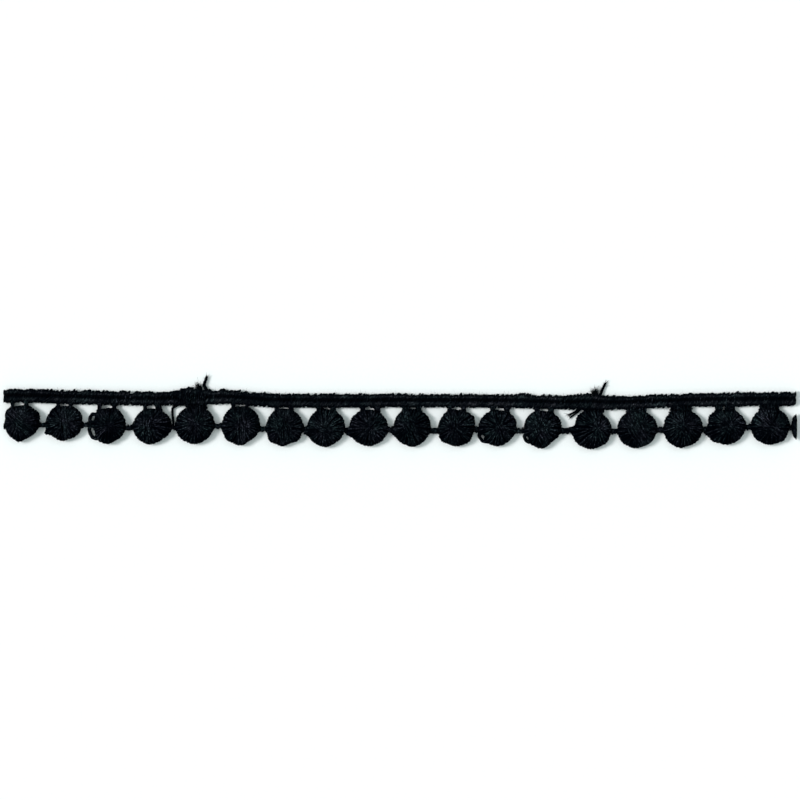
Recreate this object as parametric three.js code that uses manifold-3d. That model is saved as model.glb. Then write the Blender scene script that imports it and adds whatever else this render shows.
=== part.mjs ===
// A cut length of black cotton lace trim, lying flat on a table. Along one edge runs the heading, two
// corded ribs with a groove between them. Below it hangs a row of padded balls, each held by a neck and
// tied to the next ball by a short wrapped bar. All of it is embroidered in one pass, so it is one solid.
// Millimetres. X runs along the trim, +Y points from the balls to the heading, and Z is up.
// The origin is on the table, under the middle of the heading, half way along the trim.

import * as THREE from 'three';
import { mergeVertices } from 'three/addons/utils/BufferGeometryUtils.js';
import Module from 'manifold-3d';

const table = (columns, rows) =>
  rows.map((row) => Object.fromEntries(columns.map((name, place) => [name, row[place]])));

// Length of the trim between its two scissor cuts, and what is made past each cut before it is cut off.
const CUT_LENGTH = 190.2;
const PAST_CUT = 1.2;

// The heading's two cords. Across and wide are parts of the heading's width, and the angles say where
// the round of each cord starts and ends.
const CORDS = table(['across', 'wide', 'high', 'from', 'to'], [
  [0.22, 0.56, 1.75, -40, 160],
  [-0.28, 0.44, 1.5, 20, 220],
]);
const CORD_POINTS = 6;
const HEADING_BACK_HALF = 0.4;
const HEADING_STEPS = 60;

// The heading's middle line and width along the trim. It wanders a little, and it is thick at the two
// places where one stitch repeat was tied to the next.
const HEADING_LINE = table(['x', 'y', 'wide'], [
  [-97, 1.25, 3.1],
  [-86, 1.05, 3.1],
  [-75, 0.7, 3.3],
  [-65, 0.5, 3.1],
  [-56, 0.5, 3.2],
  [-50.5, 0.85, 4.2],
  [-45.5, 0.75, 3.7],
  [-41, 0.7, 3.2],
  [-34, 0.25, 3.1],
  [-25, 0, 3.1],
  [-10, -0.05, 3.2],
  [0, 0, 3.1],
  [15, -0.05, 3.0],
  [29, -0.2, 3.1],
  [39, -0.55, 3.2],
  [45, -0.35, 3.9],
  [51, -0.6, 3.4],
  [60.5, -0.2, 3.3],
  [72, 0.1, 3.2],
  [84, 0.3, 3.2],
  [97, 0.4, 3.1],
]);

// The balls from left to right: middle, width and height as seen from above, and how far the lowest
// point lies right of the middle. The neck's middle is given from the ball's, with its width and its
// number of legs, one being a solid band. The bar is the one that ties the ball to the next. The first
// and last balls lie past the cuts, which leave only a bar end and a sliver of them.
const BALLS = table(['x', 'y', 'wide', 'tall', 'foot', 'neckX', 'neckWide', 'legs', 'barY', 'barThick'], [
  [-101.0, -5.4, 8.4, 8.9, 0, 0, 4.2, 0, -6.1, 1.6],
  [-90.7, -5.35, 8.6, 9.0, -0.9, -0.6, 4.4, 2, -6.0, 1.1],
  [-80.6, -5.3, 8.8, 8.9, -0.8, 0.1, 4.0, 2, -5.9, 1.3],
  [-69.8, -5.95, 8.1, 9.0, -0.5, -0.5, 4.1, 2, -6.5, 1.4],
  [-59.4, -6.2, 9.4, 8.8, -0.9, 0, 3.8, 2, -6.5, 1.3],
  [-49.25, -5.9, 9.5, 9.1, -0.2, 0.4, 4.4, 1, -6.2, 1.2],
  [-38.15, -5.95, 9.1, 9.6, -0.3, -0.1, 4.2, 2, -6.7, 1.3],
  [-27.7, -6.45, 8.8, 9.1, -0.6, -0.2, 4.2, 2, -6.7, 1.7],
  [-17.75, -6.55, 9.2, 9.2, -0.3, 0.1, 4.2, 2, -6.9, 1.4],
  [-7.45, -6.5, 9.2, 8.9, -0.2, 0.4, 4.8, 2, -7.2, 1.4],
  [2.95, -6.5, 9.0, 9.1, 0.1, -0.1, 4.3, 2, -7.2, 1.1],
  [13.55, -6.5, 8.9, 8.9, 0.4, 0.1, 4.3, 2, -6.7, 1.4],
  [23.35, -6.6, 9.0, 8.7, -0.1, 0.7, 4.2, 2, -7.4, 1.3],
  [34.15, -6.9, 8.9, 9.3, 0, 0.4, 4.3, 2, -7.2, 1.6],
  [45.95, -6.95, 9.7, 9.4, -0.4, 0.4, 4.6, 1, -7.4, 1.1],
  [56.95, -6.95, 9.7, 9.1, -0.3, -0.1, 4.6, 1, -7.0, 1.3],
  [68.0, -6.85, 9.5, 9.2, -0.8, -0.5, 4.6, 1, -7.0, 1.6],
  [78.45, -6.25, 9.2, 8.7, -0.2, -0.6, 4.6, 1, -6.5, 1.3],
  [88.85, -6.2, 9.4, 8.8, -0.6, -0.1, 4.8, 1, -6.5, 1.3],
  [98.8, -6.3, 9.4, 8.9, 0, 0, 4.6, 0, -6.5, 1.3],
]);

// A ball's section from the middle of its flat back, round the rim and over the padded top, as parts
// of its radius and of its height.
const BALL_HIGH = 2.8;
const BALL_SECTION = table(['out', 'up'], [
  [0, 0],
  [0.62, 0],
  [0.88, 0.16],
  [1, 0.42],
  [0.94, 0.66],
  [0.74, 0.87],
  [0.4, 0.98],
  [0, 1],
]);
const BALL_SIDES = 22;

// A ball is pulled to soft corners at its two bars, its lowest point, the edges of its neck and the
// shoulder on its lower left, where its stitching was tied off. Between them its rim dips by a part of
// the radius.
const CORNER_DIP = 0.045;
const CORNER_WIDE = 0.42;
const SHOULDER_ANGLE = THREE.MathUtils.degToRad(222);

// Necks are flat oval bars, sunk into the heading above and the ball below.
const LEG_WIDE = 1.1;
const NECK_LOW = 0.2;
const NECK_HIGH = 1.4;
const NECK_SIDES = 8;
const NECK_IN_HEADING = 0.7;
const NECK_IN_BALL = 1.3;

// Bars are round, thickest half way between the two balls that they are sunk into.
const BAR_SIDES = 8;
const BAR_MIDDLE_UP = 1.15;
const BAR_IN_BALL = 0.6;
const BAR_END_THIN = 0.9;

// Loose thread ends and slack loops. Each route is x, y, z points from root to tip, and its free end
// lies on the table.
const STRANDS = table(['thick', 'route'], [
  [0.5, [[-45.6, 1.1, 1.1], [-46.2, 2.6, 0.5], [-46.9, 3.9, 0.3], [-46.6, 5.1, 0.28], [-46.3, 5.7, 0.28]]],
  [0.8, [[-48.1, 1.5, 1.0], [-48.4, 2.8, 0.8], [-48.8, 3.8, 0.6]]],
  [0.9, [[46.1, 0.3, 1.0], [46.8, 1.5, 0.8], [47.5, 2.4, 0.6]]],
  [0.5, [[47.7, 0.1, 1.0], [48.3, 1.7, 0.5], [48.9, 3.1, 0.28], [49.4, 4.1, 0.28]]],
  [0.5, [[44.6, -1.8, 0.8], [43.4, -2.8, 0.4], [42.0, -3.4, 0.28], [40.6, -3.9, 0.28]]],
  [0.5, [[-52.7, -0.6, 0.8], [-54.2, -1.8, 0.4], [-54.6, -3.3, 0.3], [-54.4, -5.3, 0.5], [-54.1, -6.4, 0.9]]],
  [0.8, [[-71.9, -3.1, 1], [-73.7, -3.1, 0.6], [-74.3, -4.2, 0.45], [-74.2, -5.3, 0.6], [-73.4, -6.1, 0.9]]],
  [0.8, [[-74.4, -6, 0.9], [-74.7, -7.3, 0.6], [-74.5, -8.4, 0.46], [-73.6, -9.3, 0.46], [-71.8, -9.3, 0.7]]],
  [0.9, [[-82.8, -7.3, 0.9], [-84.0, -7.7, 0.8], [-84.8, -7.9, 0.6]]],
]);
const STRAND_SIDES = 6;
const STRAND_STEPS_PER_SPAN = 2;

const COTTON_BLACK = 0x14191c;
const COTTON_ROUGHNESS = 0.85;

const X_AXIS = new THREE.Vector3(1, 0, 0);
const Y_AXIS = new THREE.Vector3(0, 1, 0);
const Z_AXIS = new THREE.Vector3(0, 0, 1);

const wasm = await Module();
wasm.setup();

// A closed geometry as a solid that can be joined and cut. Triangles that close up on an axis go.
function solidOf(geometry) {
  geometry.deleteAttribute('normal');
  geometry.deleteAttribute('uv');
  const merged = mergeVertices(geometry, 1e-4);
  const corners = merged.index.array;
  const kept = [];
  for (let i = 0; i < corners.length; i += 3) {
    const [a, b, c] = corners.subarray(i, i + 3);
    if (a !== b && b !== c && c !== a) {
      kept.push(a, b, c);
    }
  }
  return new wasm.Manifold(new wasm.Mesh({
    numProp: 3,
    vertProperties: new Float32Array(merged.attributes.position.array),
    triVerts: new Uint32Array(kept),
  }));
}

// Lets the given function move each point of a geometry.
function reshape(geometry, move) {
  const points = geometry.attributes.position;
  const point = new THREE.Vector3();
  for (let i = 0; i < points.count; i += 1) {
    point.fromBufferAttribute(points, i);
    move(point);
    points.setXYZ(i, point.x, point.y, point.z);
  }
  return geometry;
}

const headingLine = new THREE.CubicInterpolant(
  HEADING_LINE.map((row) => row.x),
  HEADING_LINE.flatMap((row) => [row.y, row.wide]),
  2,
);

function headingAt(x) {
  const [y, wide] = headingLine.evaluate(x);
  return { y, wide };
}

// The heading's section, one unit wide: a flat back, and the rounds of the two cords above it.
function headingSection() {
  const section = new THREE.Shape();
  section.moveTo(-HEADING_BACK_HALF, 0);
  section.lineTo(HEADING_BACK_HALF, 0);
  for (const cord of CORDS) {
    for (let i = 0; i < CORD_POINTS; i += 1) {
      const turn = THREE.MathUtils.lerp(cord.from, cord.to, i / (CORD_POINTS - 1));
      const angle = THREE.MathUtils.degToRad(turn);
      const across = cord.across + (cord.wide / 2) * Math.cos(angle);
      section.lineTo(across, (cord.high / 2) * (1 + Math.sin(angle)));
    }
  }
  section.closePath();
  return section;
}

// The heading is drawn straight, then bent and widened along its line.
function heading() {
  const length = CUT_LENGTH + 2 * PAST_CUT;
  const straight = new THREE.ExtrudeGeometry(headingSection(), {
    depth: length,
    steps: HEADING_STEPS,
    bevelEnabled: false,
  });
  straight.applyMatrix4(new THREE.Matrix4().makeBasis(Y_AXIS, Z_AXIS, X_AXIS));
  straight.translate(-length / 2, 0, 0);
  return solidOf(reshape(straight, (point) => {
    const { y, wide } = headingAt(point.x);
    point.y = y + wide * point.y;
  }));
}

// How far a ball's rim reaches at an angle, as a part of its radius.
function rimReach(corners, angle) {
  const pulls = corners.map((corner) => {
    const apart = Math.atan2(Math.sin(angle - corner), Math.cos(angle - corner));
    return Math.exp(-((apart / CORNER_WIDE) ** 2));
  });
  return 1 - CORNER_DIP * (1 - Math.max(...pulls));
}

function ballBody(ball, barBeforeY) {
  const { x, y, wide, tall, foot, neckX, neckWide, barY } = ball;
  const corners = [
    Math.atan2(barBeforeY - y, -wide / 2),
    Math.atan2(barY - y, wide / 2),
    Math.atan2(-tall / 2, foot),
    Math.atan2(tall / 2, neckX - neckWide / 2),
    Math.atan2(tall / 2, neckX + neckWide / 2),
    SHOULDER_ANGLE,
  ];
  const section = BALL_SECTION.map((row) => new THREE.Vector2(row.out, BALL_HIGH * row.up));
  const round = new THREE.LatheGeometry(section, BALL_SIDES);
  round.rotateX(Math.PI / 2);
  return solidOf(reshape(round, (point) => {
    const reach = rimReach(corners, Math.atan2(point.y, point.x));
    point.x = x + (wide / 2) * reach * point.x;
    point.y = y + (tall / 2) * reach * point.y;
  }));
}

// One leg of a neck, or the whole neck where it is a solid band.
function leg(middleX, wide, top, bottom) {
  const section = new THREE.Shape();
  const middleUp = (NECK_LOW + NECK_HIGH) / 2;
  section.absellipse(0, middleUp, wide / 2, (NECK_HIGH - NECK_LOW) / 2, 0, 2 * Math.PI);
  const post = new THREE.ExtrudeGeometry(section, {
    depth: top - bottom,
    steps: 1,
    bevelEnabled: false,
    curveSegments: NECK_SIDES / 2,
  });
  post.applyMatrix4(new THREE.Matrix4().makeBasis(X_AXIS, Z_AXIS, Y_AXIS.clone().negate()));
  post.translate(middleX, top, 0);
  return solidOf(post);
}

function neck(ball) {
  const middle = ball.x + ball.neckX;
  const { y, wide } = headingAt(middle);
  const top = y - wide / 2 + NECK_IN_HEADING;
  const bottom = ball.y + ball.tall / 2 - NECK_IN_BALL;
  if (ball.legs === 1) {
    return [leg(middle, ball.neckWide, top, bottom)];
  }
  const apart = (ball.neckWide - LEG_WIDE) / 2;
  return [leg(middle - apart, LEG_WIDE, top, bottom), leg(middle + apart, LEG_WIDE, top, bottom)];
}

function bar(ball, next) {
  const start = ball.x + ball.wide / 2 - BAR_IN_BALL;
  const length = next.x - next.wide / 2 + BAR_IN_BALL - start;
  const radius = ball.barThick / 2;
  const section = [
    new THREE.Vector2(0, 0),
    new THREE.Vector2(radius * BAR_END_THIN, 0),
    new THREE.Vector2(radius, length / 2),
    new THREE.Vector2(radius * BAR_END_THIN, length),
    new THREE.Vector2(0, length),
  ];
  const round = new THREE.LatheGeometry(section, BAR_SIDES);
  round.rotateZ(-Math.PI / 2);
  round.translate(start, ball.barY, BAR_MIDDLE_UP);
  return solidOf(round);
}

function strand({ thick, route }) {
  const section = new THREE.Shape();
  section.absarc(0, 0, thick / 2, 0, 2 * Math.PI);
  const points = route.map((point) => new THREE.Vector3(...point));
  return solidOf(new THREE.ExtrudeGeometry(section, {
    extrudePath: new THREE.CatmullRomCurve3(points),
    steps: STRAND_STEPS_PER_SPAN * (points.length - 1),
    bevelEnabled: false,
    curveSegments: STRAND_SIDES / 2,
  }));
}

function laceTrim() {
  const stitches = [heading()];
  BALLS.forEach((ball, i) => {
    const before = i > 0 ? BALLS[i - 1] : ball;
    stitches.push(ballBody(ball, before.barY));
    if (ball.legs > 0) {
      stitches.push(...neck(ball));
    }
    if (i + 1 < BALLS.length) {
      stitches.push(bar(ball, BALLS[i + 1]));
    }
  });
  stitches.push(...STRANDS.map(strand));
  const whole = stitches.reduce((joined, stitch) => joined.add(stitch));
  return whole.trimByPlane([1, 0, 0], -CUT_LENGTH / 2).trimByPlane([-1, 0, 0], -CUT_LENGTH / 2);
}

function meshOf(solid, name, material) {
  const { vertProperties, triVerts } = solid.getMesh();
  const geometry = new THREE.BufferGeometry();
  geometry.setAttribute('position', new THREE.BufferAttribute(vertProperties, 3));
  geometry.setIndex(new THREE.BufferAttribute(triVerts, 1));
  geometry.computeVertexNormals();
  const mesh = new THREE.Mesh(geometry, material);
  mesh.name = name;
  return mesh;
}

const blackCotton = new THREE.MeshStandardMaterial({
  color: COTTON_BLACK,
  roughness: COTTON_ROUGHNESS,
  metalness: 0,
});

const trim = new THREE.Group();
trim.add(meshOf(laceTrim(), 'lace_trim', blackCotton));

export default trim;
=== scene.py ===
# Black cotton guipure ball trim: the laid threads that cover the solid, their finish, light and camera.
import math
from collections import namedtuple

import bpy
import numpy as np
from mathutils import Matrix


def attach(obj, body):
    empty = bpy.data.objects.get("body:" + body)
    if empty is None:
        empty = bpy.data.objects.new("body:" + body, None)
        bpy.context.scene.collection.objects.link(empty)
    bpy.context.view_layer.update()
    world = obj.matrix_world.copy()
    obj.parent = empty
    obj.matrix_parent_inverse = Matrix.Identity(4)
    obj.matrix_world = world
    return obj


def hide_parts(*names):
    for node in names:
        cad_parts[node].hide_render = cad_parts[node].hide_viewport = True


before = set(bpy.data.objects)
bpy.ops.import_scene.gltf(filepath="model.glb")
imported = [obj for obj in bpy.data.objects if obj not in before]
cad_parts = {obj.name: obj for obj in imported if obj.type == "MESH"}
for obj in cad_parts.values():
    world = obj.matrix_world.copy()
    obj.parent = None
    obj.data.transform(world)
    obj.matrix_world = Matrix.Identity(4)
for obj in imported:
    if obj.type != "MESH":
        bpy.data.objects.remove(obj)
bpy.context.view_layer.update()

# All sizes are in millimetres, in the solid's frame, and become metres in sew().
MM = 0.001
NODE = "lace_trim"
SEED = 41

# The length between the two cuts, and the heading's middle line and width along it.
CUT_LENGTH = 190.2
CUT = CUT_LENGTH / 2
Line = namedtuple("Line", "x y wide")
HEADING_LINE = Line(*np.array([
    [-97, 1.25, 3.1], [-86, 1.05, 3.1], [-75, 0.78, 3.2], [-65, 0.5, 3.1], [-56, 0.5, 3.2],
    [-50.5, 0.85, 4.1], [-45.5, 0.8, 3.4], [-41, 0.85, 3.1], [-37.5, 0.6, 3.0], [-34, 0.25, 3.1],
    [-25, 0, 3.1], [-10, -0.05, 3.2], [0, 0, 3.1], [15, -0.05, 3.0], [29, -0.15, 3.1],
    [39, -0.42, 3.1], [45, -0.35, 3.9], [51, -0.5, 3.2], [60.5, -0.2, 3.2], [72, 0.15, 3.0],
    [84, 0.32, 3.1], [97, 0.4, 3.1],
]).T)

# The heading's cords, and the web in the groove between them: the middle and width of each as shares of
# the heading's width, its height, and how far its stitches stand out of line.
Cord = namedtuple("Cord", "name across wide high loose")
CORDS = [
    Cord("upper_cord_stitches", 0.255, 0.48, 1.75, 0.11),
    Cord("lower_cord_stitches", -0.21, 0.62, 1.6, 0.05),
]
GROOVE_WEB = Cord("groove_web", 0.04, 0.52, 1.2, 0.0)

# Where the stitch repeat was joined on the left, the heading is wound over again, across both cords.
# Each stitch there has its place along the heading, its upper and lower ends, and its lean in degrees.
Wrap = namedtuple("Wrap", "x top bottom lean")
JOINS = [Wrap(*row) for row in [
    [-53.1, 2.75, -1.1, 14], [-52.7, 3.0, -1.0, 6], [-52.2, 3.05, -1.15, -4], [-51.7, 2.95, -1.2, 9],
    [-51.2, 2.9, -1.1, -8], [-50.7, 2.75, -1.2, 3], [-50.2, 2.8, -1.3, 16], [-49.7, 2.9, -1.3, -3],
    [-49.2, 2.85, -1.3, 7], [-48.7, 2.8, -1.3, -12], [-48.2, 2.75, -1.3, 4], [-47.7, 2.7, -1.2, 12],
    [-47.2, 2.6, -1.2, -6], [-46.7, 2.6, -1.1, 10],
]]

# The balls from left to right: the middle and size of each, where its foot and neck lie from the middle,
# and the bar to the right of it. The first lies past the left cut, and most of the last past the right one.
Ball = namedtuple("Ball", "x y wide tall foot neck_x neck_wide bar_y bar_thick")
BALLS = [Ball(*row) for row in [
    [-101.0, -5.4, 8.4, 8.9, 0, 0, 4.2, -6.1, 1.6],
    [-90.7, -5.35, 8.3, 9.0, -0.9, -0.6, 4.4, -5.87, 1.22],
    [-80.6, -5.3, 8.8, 8.9, -0.8, 0.1, 4, -5.85, 1.35],
    [-69.8, -5.95, 8.1, 9.0, -0.5, -0.5, 4.7, -6.52, 1.42],
    [-59.4, -6.2, 9.4, 8.8, -0.9, -0.2, 4.2, -6.5, 1.3],
    [-49.25, -5.9, 9.5, 9.1, -0.2, 0.5, 5, -6.1, 1.5],
    [-38.15, -5.95, 9.1, 9.6, -0.3, -0.2, 4.4, -6.85, 1.3],
    [-27.7, -6.45, 8.8, 9.1, -0.6, -0.1, 4.8, -7.05, 1.7],
    [-17.75, -6.55, 9.2, 9.2, -0.3, 0.1, 4.8, -7.0, 1.6],
    [-7.45, -6.5, 9.2, 8.9, -0.2, 0.4, 5, -7.0, 1.55],
    [2.95, -6.5, 9.0, 9.1, 0.1, -0.1, 4.8, -7.3, 1.45],
    [13.55, -6.5, 8.9, 8.9, 0.4, 0.1, 4.6, -6.85, 1.8],
    [23.35, -6.6, 9.0, 8.7, -0.1, 0.7, 4.9, -7.25, 1.45],
    [34.15, -6.9, 8.9, 9.3, 0, 0.5, 4.8, -7.25, 1.65],
    [45.95, -6.95, 9.7, 9.4, -0.4, 0.5, 4.8, -7.45, 1.45],
    [56.95, -6.95, 9.7, 9.1, -0.3, -0.1, 4.9, -7.05, 1.5],
    [68.0, -6.85, 9.5, 9.2, -0.8, -0.5, 5.4, -6.95, 1.65],
    [78.45, -6.25, 9.2, 8.7, -0.2, -0.4, 4.9, -6.4, 1.45],
    [88.85, -6.2, 9.4, 8.8, -0.6, -0.1, 4.8, -6.5, 1.3],
    [98.8, -6.3, 9.4, 8.9, 0, 0, 4.6, -6.5, 1.3],
]]
WHOLE_BALLS = range(1, len(BALLS) - 1)
SLIVER = len(BALLS) - 1

# How each whole ball's last threads lie: their angle in degrees, how many lie side by side on top,
# and the point that the sunburst turns about, from the ball's middle.
Stitching = namedtuple("Stitching", "lay strokes pivot_x pivot_y")
STITCHING = [Stitching(*row) for row in [
    [0, 0, 0, 0],
    [135, 5, -0.8, 0.4], [96, 4, 0.2, 0], [88, 0, 0.2, 0], [84, 4, -1.0, 0.4], [60, 0, 0.4, 0.5],
    [91, 4, 0.3, 0.2], [103, 7, -0.1, 0], [150, 3, -0.5, -0.3], [45, 2, 0.3, 0], [112, 5, -0.8, 0.3],
    [95, 4, -0.6, 0.2], [111, 2, 0.5, 0.2], [115, 5, -0.6, 0.5], [90, 0, 1.7, 0.5], [121, 8, 0, 0],
    [80, 0, 0, 0.9], [120, 4, 0.6, 0.4], [140, 5, 0.2, -0.3],
]]

# Where rim threads have pulled loose from their ball and left a small hole behind them: the ball, the
# direction of the hole, its depth and half width, and the loop's distance, half length and half
# thickness. Directions, the half width and the half length are in degrees.
Loose = namedtuple("Loose", "ball at deep wide loop_out loop_half loop_thick")
LOOSE_RIMS = [
    Loose(3, 156.0, 0.35, 8.0, 4.95, 16.0, 0.43),
    Loose(3, 204.0, 0.3, 13.0, 4.95, 25.0, 0.45),
    Loose(12, 212.0, 0.75, 9.0, 4.68, 23.0, 0.42),
    Loose(13, 212.0, 0.65, 8.0, 4.65, 18.0, 0.42),
]

# Where a ball's rim stands out between its corners, or is drawn in: the ball, the direction in degrees,
# how far out, or in where it is negative, and the half width in degrees.
Swell = namedtuple("Swell", "ball at out half_wide", defaults=[17])
UNEVEN_RIMS = [Swell(*row) for row in [
    [1, 25, 0.4], [1, 140, 0.35], [1, 275, -0.3], [1, 302, -0.36],
    [2, 20, 0.1], [2, 145, -0.2], [2, 230, -0.15], [2, 284, -0.2], [2, 322, 0.2],
    [3, 35, -0.2], [3, 235, 0.25], [3, 292, -0.3],
    [4, 45, -0.2], [4, 145, -0.15], [4, 282, -0.2], [4, 310, -0.4],
    [6, 222, 0.2], [6, 298, -0.3],
    [7, 222, 0.35], [7, 288, -0.35], [7, 322, 0.35],
    [8, 155, -0.15], [8, 302, -0.15],
    [9, 40, -0.25], [9, 155, 0.15], [9, 320, 0.2],
    [11, 32, 0.35], [11, 150, -0.2], [11, 218, 0.35], [11, 312, 0.35],
    [12, 25, 0.3],
    [13, 22, 0.3], [13, 290, -0.25], [13, 311, -0.5],
    [14, 42, -0.35], [14, 160, -0.7], [14, 320, 0.3],
    [15, 285, -0.2],
    [16, 145, 0.25], [16, 284, -0.25],
    [17, 40, -0.2], [17, 147, 0.35], [17, 222, 0.45],
    [18, 315, 0.35],
    [19, 156, 0.3], [19, 204, 0.3],
]]

# Where threads draw a ball's rim out to a narrow corner, most of them at a joining bar.
DRAWN_CORNERS = [Swell(*row) for row in [
    [1, 262, 0.35, 9], [2, 209, 0.9, 10], [3, 176, 0.5, 10], [4, 182, 0.2, 12],
    [6, 188, 0.3, 14], [6, -6, 0.2, 10], [7, 183, 0.3, 12], [7, 2, 0.35, 11],
    [8, 193, 0.95, 10], [9, 195, 1.2, 12], [9, -14, 0.2, 10], [10, 197, 0.65, 11],
    [12, -8, 0.3, 14], [14, 180, 1.5, 8], [17, 197, 1.05, 11], [17, 4, 0.15, 10],
]]

# Darker patches on the balls' faces: the ball, the place from its middle, and the half width and half height.
# The one on the right side of ball 4 is painted shade, where that side lies in shade; the others are darker
# places in the cover. All are darkened by the same share of a thread's tone.
DarkPatch = namedtuple("DarkPatch", "ball x y half_wide half_tall")
DARK_PATCHES = [DarkPatch(*row) for row in [
    [3, 0.4, -2.6, 1.5, 1.0], [4, 3.2, 0.2, 1.1, 2.2], [15, -2.3, -1.5, 1.5, 1.6], [17, -3.4, -0.8, 1.0, 1.5],
    [18, -0.2, -2.9, 2.0, 0.7],
]]
DARK_PATCH_SHARE = 0.6

# Strands that lie singly on the balls' faces: the ball, the strand's half thickness, and its two ends
# from the ball's middle.
Strand = namedtuple("Strand", "ball thick x_from y_from x_to y_to")
FACE_STRANDS = [Strand(*row) for row in [
    [8, 0.3, -4.4, -0.6, -1.8, -0.7], [8, 0.26, -4.3, -1.1, -2.0, -1.0], [13, 0.28, 1.7, 3.8, 0.8, 1.4],
    [7, 0.28, -1.9, 4.2, -2.2, 2.9], [3, 0.28, 1.2, 5.1, 0.8, 2.7], [12, 0.25, -0.75, 3.1, 0.35, 1.1],
    [4, 0.4, 1.6, 5.2, 2.6, 2.6],
]]

# Cut thread ends and slack threads: how thick each is, and its route from the stitching outward.
TAILS = [
    (0.88, [[-45.7, 1.1, 1.1], [-46.4, 2.6, 0.6], [-46.95, 3.5, 0.48], [-47.0, 4.0, 0.46],
            [-46.6, 5.0, 0.46], [-46.4, 5.7, 0.48]]),
    (0.8, [[47.7, 0.1, 1.0], [48.3, 1.7, 0.55], [48.9, 3.1, 0.42], [49.4, 4.1, 0.4]]),
    (0.58, [[44.9, -1.1, 0.8], [43.5, -1.9, 0.5], [42.1, -2.7, 0.4], [40.6, -3.5, 0.36]]),
    (0.48, [[43.9, -1.7, 0.6], [43.1, -2.5, 0.4], [42.2, -3.2, 0.34], [41.1, -4.0, 0.3]]),
]
SLACK_THREADS = [
    (0.7, [[-52.7, -0.7, 0.8], [-53.7, -1.3, 0.5], [-54.4, -1.65, 0.42], [-54.66, -2.2, 0.4],
           [-54.62, -3.3, 0.4], [-54.45, -4.7, 0.5], [-54.4, -6.2, 0.9]]),
]

# Tufts of loose fibre beside the tails: where each is rooted, where it stands to, and how far it spreads.
Tuft = namedtuple("Tuft", "root tip spread")
TUFTS = [
    Tuft([-48.3, 2.7, 1.0], [-48.8, 3.9, 0.8], 0.28), Tuft([-47.8, 2.7, 1.0], [-48.3, 3.6, 0.8], 0.26),
    Tuft([46.8, 1.2, 1.0], [47.3, 2.8, 0.8], 0.3), Tuft([46.9, 1.2, 1.0], [46.1, 2.3, 0.8], 0.32),
]

# The form that the threads cover: the ball's height, how far up its rim is widest, its flattened dome,
# and its back with the height that threads lie at there.
BALL_HIGH = 2.8
RIM_UP = 1.18
DOME_FALL = 2.6
DOME_ROUND = 0.45
BACK_UP = 0.25
BACK_FALL = 5.0
BACK_ROUND = 0.64

# The rim is fuller on two sides, and falls a little short between the corners where threads pull it out.
FULL_SIDES = [(math.radians(28), 0.32), (math.radians(150), 0.17)]
FULL_WIDE = math.radians(22)
CORNER_DIP = 0.045
CORNER_WIDE = 0.42
BAR_PULL_WIDE = 0.25
SHOULDER = math.radians(222)

# The windows between the legs of the necks: the ball, the window's left and right sides, and how far the
# ball's rim is drawn in below it. The ease is how much wider than the window that hollow is, in radians.
Window = namedtuple("Window", "left right dip")
WINDOWS = {
    1: Window(-92.4, -90.3, 0.22), 2: Window(-81.7, -79.6, 0.35), 3: Window(-71.5, -69.2, 0.18),
    4: Window(-60.7, -58.8, 0.05), 6: Window(-39.4, -37.2, 0.1), 7: Window(-28.8, -26.8, -0.05),
    8: Window(-18.7, -16.8, -0.08), 9: Window(-8.3, -6.2, 0), 10: Window(2.4, 3.9, -0.05),
    11: Window(12.6, 14.6, 0), 12: Window(23.0, 24.9, -0.1), 13: Window(33.6, 35.5, 0.1),
    17: Window(77.55, 78.0, 0.2),
}
WINDOW_EASE = 0.1

# The legs of the necks and the joining bars: how high their middles lie and half how thick they are, how
# far they run into the heading and the balls, how the legs widen at their ends, how far the bars'
# stitches stand out, and the stitches' spacing.
NECK_UP = 0.8
NECK_HALF_UP = 0.6
NECK_IN_HEADING = 0.7
NECK_IN_BALL = 1.3
NECK_FLARE = 0.3
NECK_PITCH = 0.38
BAR_UP = 0.85
BAR_HALF_UP = 0.65
BAR_IN_BALL = 0.6
BAR_PROUD = 0.05
BAR_PITCH = 0.28

# The stitching thread, two plies of mercerised cotton: its half thickness, how flat it is pressed, half
# its height then, its sides, how deep the plies show, how far they run in one turn, and how much the
# thickness varies.
THREAD = 0.235
THREAD_FLAT = 0.85
THREAD_HALF_UP = THREAD * THREAD_FLAT
THREAD_SIDES = 7
PLY_DEPTH = 0.1
PLY_TURN = 2.2
THREAD_UNEVEN = 0.09

# The balls' cover: the sunburst's stitches and the last strokes' spacing, how far the ends stand out at
# the rim, how far the first stitches are sunk where all cross, and the points along face and back.
SUNBURST_STITCHES = 28
STROKE_PITCH = 0.54
ENDS_PROUD = 0.15
CENTRE_SINK = 0.5
CENTRE_WIDE = 2.2
TOP_STEPS = 40
BACK_STEPS = 11

# How far the cover's threads are drawn paler. Every second one of the sunburst is sunk between its neighbours
# and kept darker, and all are paler towards the neck and darker towards the foot.
SUNK_TONE = 0.05
PROUD_TONE = 0.45
PALER_TOWARDS_NECK = 0.3

# Unevenness of the cover: the fan's angles as a share of its step, its distance off the middle, the
# strokes' lean and distance, the threads' sway to the sides, their ripple, and how low some lie.
FAN_UNEVEN = 0.16
FAN_OFF_MIDDLE = 0.12
STROKE_LEAN = 0.06
STROKE_UNEVEN = 0.08
SWAY = 0.11
SWAY_RATE = (1.0, 2.0)
RIPPLE = 0.035
RIPPLE_RATE = (1.5, 2.6)
ANY_PHASE = 6.3
LIE_LOW = 0.07

# Stitches wound round the heading's cords: their spacing and slant, how far they stand out at the edges
# and how high they lie, and their unevenness along, across, in height and in slant.
CORD_PITCH = 0.36
CORD_SLANT = 36.0
EDGE_PROUD = 0.08
CORD_LIFT = 0.05
CORD_ALONG_UNEVEN = 0.04
CORD_ACROSS_UNEVEN = 0.03
CORD_UP_UNEVEN = 0.1
CORD_SLANT_UNEVEN = 9
CORD_EASE = [0.15, 0.7, 0.15]
RING_STEPS = 20
RING_SIDES = 6

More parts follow.
